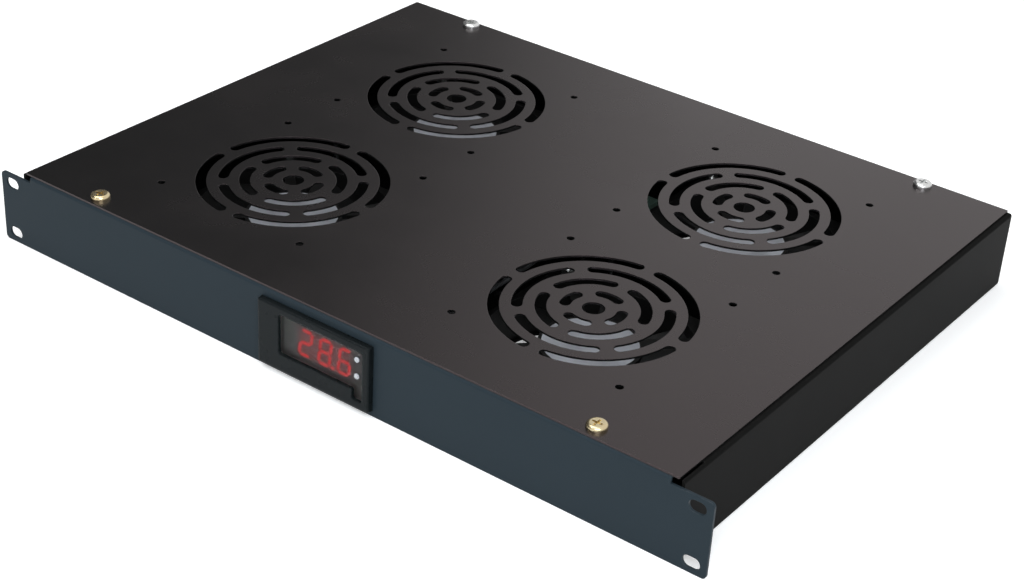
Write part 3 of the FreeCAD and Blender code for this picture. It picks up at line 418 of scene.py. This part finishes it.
terminal_plastic = finish("terminal_plastic", (0.12, 0.2, 0.16), (0.15, 0.23, 0.19), 0.42,
                          0.0004, 0.00002, patch=0.01, worn=(0.25, 0.32, 0.28), dusty=0.05)
dress(terminal_plastic, "thermostat_terminals", "terminal_block")
board_green = finish("board_green", (0.006, 0.06, 0.025), (0.01, 0.085, 0.035), 0.3, 0.0015,
                     0.00005, patch=0.006, coat=0.4)
dress(board_green, "control_board")

# %% [markdown]
# The display's own board carries a black block that the bars sit in. Both are in one part,
# so its material picks the black for everything in front of the board's front face, and the
# green for the rest. The place comes from the measured part.

# %% Display board
display = finish("display_board", (0.006, 0.06, 0.025), (0.01, 0.085, 0.035), 0.35, 0.0015,
                 0.00004, patch=0.006, specular=0.1)
tree = display.node_tree
shader = tree.nodes["Principled BSDF"]
green = shader.inputs["Base Color"].links[0].from_socket
place = box(tree, "ShaderNodeTexCoord", (-600, 600))
parts = box(tree, "ShaderNodeSeparateXYZ", (-400, 600))
join(tree, place, "Object", parts, 0)
board_thickness = 0.0018
board_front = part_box("display_board")[1].y - board_thickness
in_front = box(tree, "ShaderNodeMath", (-200, 600), operation="LESS_THAN")
in_front.inputs[1].default_value = board_front
join(tree, parts, "Y", in_front, 0)
blacked = box(tree, "ShaderNodeMix", (400, 400), data_type="RGBA")
blacked.inputs[7].default_value = (0.004, 0.004, 0.004, 1)
join(tree, in_front, 0, blacked, 0)
tree.links.new(green, blacked.inputs[6])
join(tree, blacked, 2, shader, "Base Color")
print("block in front of", round(board_front, 4))

# %% [markdown]
# The lit bars also light the black block around them, because the cloudy film over them
# spreads their light. That light is a painted glow: the board itself gives off red in a mask
# that is full in the middle of the number, and falls to nothing two millimetres outside it.

# %% Glow round the number
low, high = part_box("display_digits")
middle = (low + high) / 2
reach = (high - low) / 2
glow_outside = 0.002
glow_inside = 0.003
fades = []
for axis, row in (("X", 900), ("Z", 1150)):
    centre = getattr(middle, axis.lower())
    half = getattr(reach, axis.lower())
    away = box(tree, "ShaderNodeMath", (-200, row), operation="SUBTRACT")
    away.inputs[1].default_value = centre
    join(tree, parts, axis, away, 0)
    length = box(tree, "ShaderNodeMath", (0, row), operation="ABSOLUTE")
    join(tree, away, 0, length, 0)
    fade = remap(tree, half + glow_outside, half - glow_inside, (200, row),
                 interpolation_type="SMOOTHSTEP")
    join(tree, length, 0, fade, "Value")
    fades.append(fade)
patch = box(tree, "ShaderNodeMath", (400, 900), operation="MULTIPLY")
join(tree, fades[0], 0, patch, 0)
join(tree, fades[1], 0, patch, 1)
red = box(tree, "ShaderNodeMix", (600, 900), data_type="RGBA")
red.inputs[6].default_value = (0, 0, 0, 1)
red.inputs[7].default_value = (0.11, 0.006, 0.008, 1)
join(tree, patch, 0, red, 0)
join(tree, red, 2, shader, "Emission Color")
shader.inputs["Emission Strength"].default_value = 1.0
dress(display, "display_board")

# %% [markdown]
# The bars themselves. Apart from the painted glow on the board, they are the only part that
# gives light, at a strength that keeps them red.

# %% Lit bars
lit_red = finish("lit_red", (0.7, 0.02, 0.02), (0.8, 0.04, 0.03), 0.4, 0.0004, 0.00001,
                 patch=0.004, soften=0.0)
glow = lit_red.node_tree.nodes["Principled BSDF"]
glow.inputs["Emission Color"].default_value = (1.0, 0.045, 0.065, 1)
glow.inputs["Emission Strength"].default_value = 0.34
dress(lit_red, "display_digits")

# %% [markdown]
# Power inlet, wiring and the probe. Each lead is soft vinyl with a slight gloss, in the
# colour that its job calls for, and the earth lead is green and yellow.

# %% Inlet and wiring
inlet_plastic = finish("inlet_plastic", (0.012, 0.012, 0.012), (0.018, 0.018, 0.018), 0.42,
                       0.0004, 0.00002, patch=0.02, worn=(0.05, 0.05, 0.05), dusty=0.03)
dress(inlet_plastic, "power_inlet", "fuse_drawer")
pin_brass = finish("pin_brass", (0.75, 0.62, 0.32), (0.8, 0.7, 0.42), 0.25, 0.0005, 0.00001,
                   patch=0.005, metallic=1.0, lines=(2500.0, 60.0, 2500.0))
dress(pin_brass, "inlet_pins")
fuse_glass = finish("fuse_glass", (0.75, 0.78, 0.78), (0.8, 0.82, 0.82), 0.12, 0.002,
                    0.000005, patch=0.004, soften=0.0)
dress(fuse_glass, "fuse_link")
for name, part, shade, other in (
        ("brown_vinyl", "mains_leads", (0.07, 0.028, 0.012), (0.09, 0.035, 0.016)),
        ("black_vinyl", "fan_leads", (0.012, 0.012, 0.012), (0.018, 0.018, 0.018)),
        ("grey_vinyl", "thermostat_lead", (0.16, 0.16, 0.17), (0.2, 0.2, 0.21)),
        ("probe_vinyl", "probe_lead", (0.02, 0.02, 0.02), (0.03, 0.03, 0.03)),
        ("earth_vinyl", "earth_lead", (0.04, 0.2, 0.03), (0.5, 0.42, 0.03))):
    dress(finish(name, shade, other, 0.38, 0.0008, 0.00002, patch=0.01, soften=0.0,
                 dusty=0.04), part)
sleeve_steel = finish("sleeve_steel", (0.55, 0.55, 0.55), (0.62, 0.62, 0.62), 0.25, 0.0005,
                      0.00001, patch=0.006, metallic=1.0, lines=(2500.0, 60.0, 2500.0))
dress(sleeve_steel, "temperature_probe")
clip_nylon = finish("clip_nylon", (0.6, 0.59, 0.54), (0.66, 0.65, 0.6), 0.45, 0.0005,
                    0.00002, patch=0.005)
dress(clip_nylon, "probe_clip", "lead_clips")

# %% [markdown]
# Floor. The tray stands on plain white paper. What the camera, a mirror and glass see of it
# gets a little added white, so that the paper reads as white while the shadow stays. The room
# uses the same test further down, so it is a function.

# %% Floor


def seen_rays(tree, row):
    """1 for what is looked at, straight, in metal or through glass, and 0 for light cast."""
    path = box(tree, "ShaderNodeLightPath", (-600, row))
    seen = box(tree, "ShaderNodeMath", (-400, row), operation="ADD")
    join(tree, path, "Is Camera Ray", seen, 0)
    join(tree, path, "Is Glossy Ray", seen, 1)
    seen_all = box(tree, "ShaderNodeMath", (-200, row), operation="ADD", use_clamp=True)
    join(tree, seen, 0, seen_all, 0)
    join(tree, path, "Is Transmission Ray", seen_all, 1)
    return seen_all


floor_half_width = 20.0
floor_gap = 0.0002
added_white = 0.32
mesh = bpy.data.meshes.new("floor")
shape = bmesh.new()
bmesh.ops.create_grid(shape, x_segments=1, y_segments=1, size=floor_half_width)
shape.to_mesh(mesh)
shape.free()
floor = bpy.data.objects.new("floor", mesh)
floor.location = (0, 0, cad_low.z - floor_gap)
scene.collection.objects.link(floor)
floor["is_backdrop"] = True
paper = bpy.data.materials.new("paper")
paper.use_nodes = True
tree = paper.node_tree
shader = tree.nodes["Principled BSDF"]
shader.inputs["Base Color"].default_value = (0.86, 0.86, 0.86, 1)
shader.inputs["Roughness"].default_value = 1.0
shader.inputs["Specular IOR Level"].default_value = 0.0
lift = box(tree, "ShaderNodeMath", (0, -300), operation="MULTIPLY")
lift.inputs[1].default_value = added_white
join(tree, seen_rays(tree, -300), 0, lift, 0)
shader.inputs["Emission Color"].default_value = (1, 1, 1, 1)
join(tree, lift, 0, shader, "Emission Strength")
mesh.materials.append(paper)
print("floor at", round(floor.location.z, 4))

# %% [markdown]
# The room round the floor is white, but for the far left side, which is dark grey. Camera,
# metal and glass all see the same room, and the cover mirrors the change from one to the other
# as its sheen. The light that the room casts is weaker than what is seen of it.

# %% Room
dark_side = 0.09
cast_strength = 0.65
world = bpy.data.worlds.new("studio")
scene.world = world
world.use_nodes = True
tree = world.node_tree
sky = tree.nodes["Background"]
toward = box(tree, "ShaderNodeTexCoord", (-800, 300))
across = box(tree, "ShaderNodeSeparateXYZ", (-600, 300))
join(tree, toward, "Generated", across, 0)
ramp = remap(tree, -0.565, -0.47, (-400, 300))
join(tree, across, "X", ramp, "Value")
room = box(tree, "ShaderNodeMix", (-200, 300), data_type="RGBA")
room.inputs[6].default_value = (dark_side, dark_side, dark_side, 1)
room.inputs[7].default_value = (1, 1, 1, 1)
join(tree, ramp, 0, room, 0)
join(tree, room, 2, sky, "Color")
level = box(tree, "ShaderNodeMapRange", (0, 0))
level.inputs["To Min"].default_value = cast_strength
level.inputs["To Max"].default_value = 1.0
join(tree, seen_rays(tree, 0), 0, level, "Value")
join(tree, level, 0, sky, "Strength")
print("room casts", cast_strength)

# %% [markdown]
# Three soft lamps. A large one overhead lights the foil discs through the grilles, a narrow
# strip at the front left draws the edges, and a soft bluish one at the front right lights the
# panel. It is large and high because a small low one shows in the cover from behind.

# %% Lamps


def softbox(name, place, aim, width, height, watts, tint=(1, 1, 1)):
    """A rectangular studio lamp that points at a spot; sizes in metres."""
    data = bpy.data.lights.new(name, "AREA")
    data.shape = "RECTANGLE"
    data.size = width
    data.size_y = height
    data.energy = watts
    data.color = tint
    lamp = bpy.data.objects.new(name, data)
    scene.collection.objects.link(lamp)
    lamp.location = place
    lamp.rotation_mode = "QUATERNION"
    lamp.rotation_quaternion = (Vector(aim) - Vector(place)).to_track_quat("-Z", "Y")
    print(name, watts, "W")


softbox("top_light", (-0.6, -0.2, 2.0), (0, 0, 0), 1.3, 1.3, 16)
softbox("edge_strip", (-1.0, -1.35, 1.55), (0, 0, 0), 1.1, 0.06, 5)
softbox("front_fill", (0.85, -0.90, 0.95), (0.2, -0.17, 0.02), 0.8, 0.7, 14, (0.90, 0.96, 1.0))

# %% Scene settings
scene.view_settings.view_transform = "Standard"

# %% Sizes
low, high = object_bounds()
